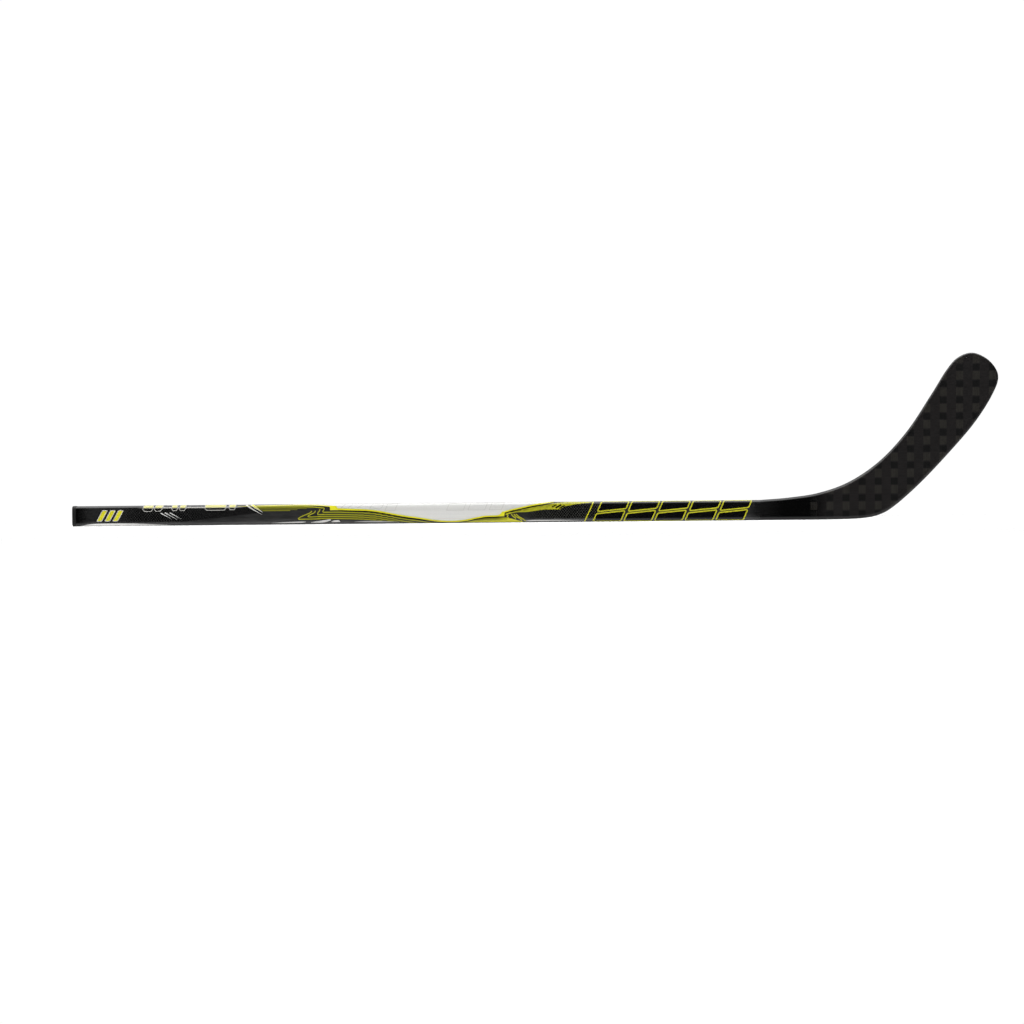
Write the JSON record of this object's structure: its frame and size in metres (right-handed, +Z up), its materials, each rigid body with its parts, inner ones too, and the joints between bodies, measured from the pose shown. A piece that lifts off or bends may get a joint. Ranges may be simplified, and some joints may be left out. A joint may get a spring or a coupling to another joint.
{
  "type": "ice hockey stick",
  "caption": "Left-handed composite ice hockey stick with a hollow rounded-rectangular shaft, a capped butt, a tapering hosel and a thin curved blade with a broad round toe.",
  "frame": {"origin": "middle of the overall length and depth, at the height of the shaft's lower narrow edge, which the stick stands on", "axes": "+X along the shaft from the butt to the toe, +Y out of the back of the blade, +Z up from the shaft's lower edge towards the toe"},
  "size_m": [1.2162, 0.0237, 0.2171],
  "materials": {
    "cap_rubber": "satin black moulded rubber",
    "gloss_black_laminate": "clear-coated black carbon and glass laminate",
    "carbon_weave": "satin clear-coated woven carbon",
    "carbon_tow": "satin carbon tow in resin",
    "hosel_composite": "moulded grey-black composite",
    "blade_foam": "rigid tan polyurethane foam",
    "shaft_foam": "pale closed-cell foam"
  },
  "bodies": {
    "stick": {"shaft_tube": "gloss_black_laminate", "joint_wrap": "gloss_black_laminate", "shaft_foam_plug": "shaft_foam", "hosel_core": "hosel_composite", "blade_front_skin": "carbon_weave", "blade_back_skin": "carbon_weave", "blade_edge_rail": "carbon_tow", "blade_rib": "carbon_tow", "blade_lower_core": "blade_foam", "blade_upper_core": "blade_foam"},
    "cap": {"end_cap": "cap_rubber"}
  },
  "joints": [
    {"name": "end_cap_pull", "type": "slide", "parent": "stick", "child": "cap", "axis": [-1, 0, 0], "range_m": [0, 0.06]}
  ]
}
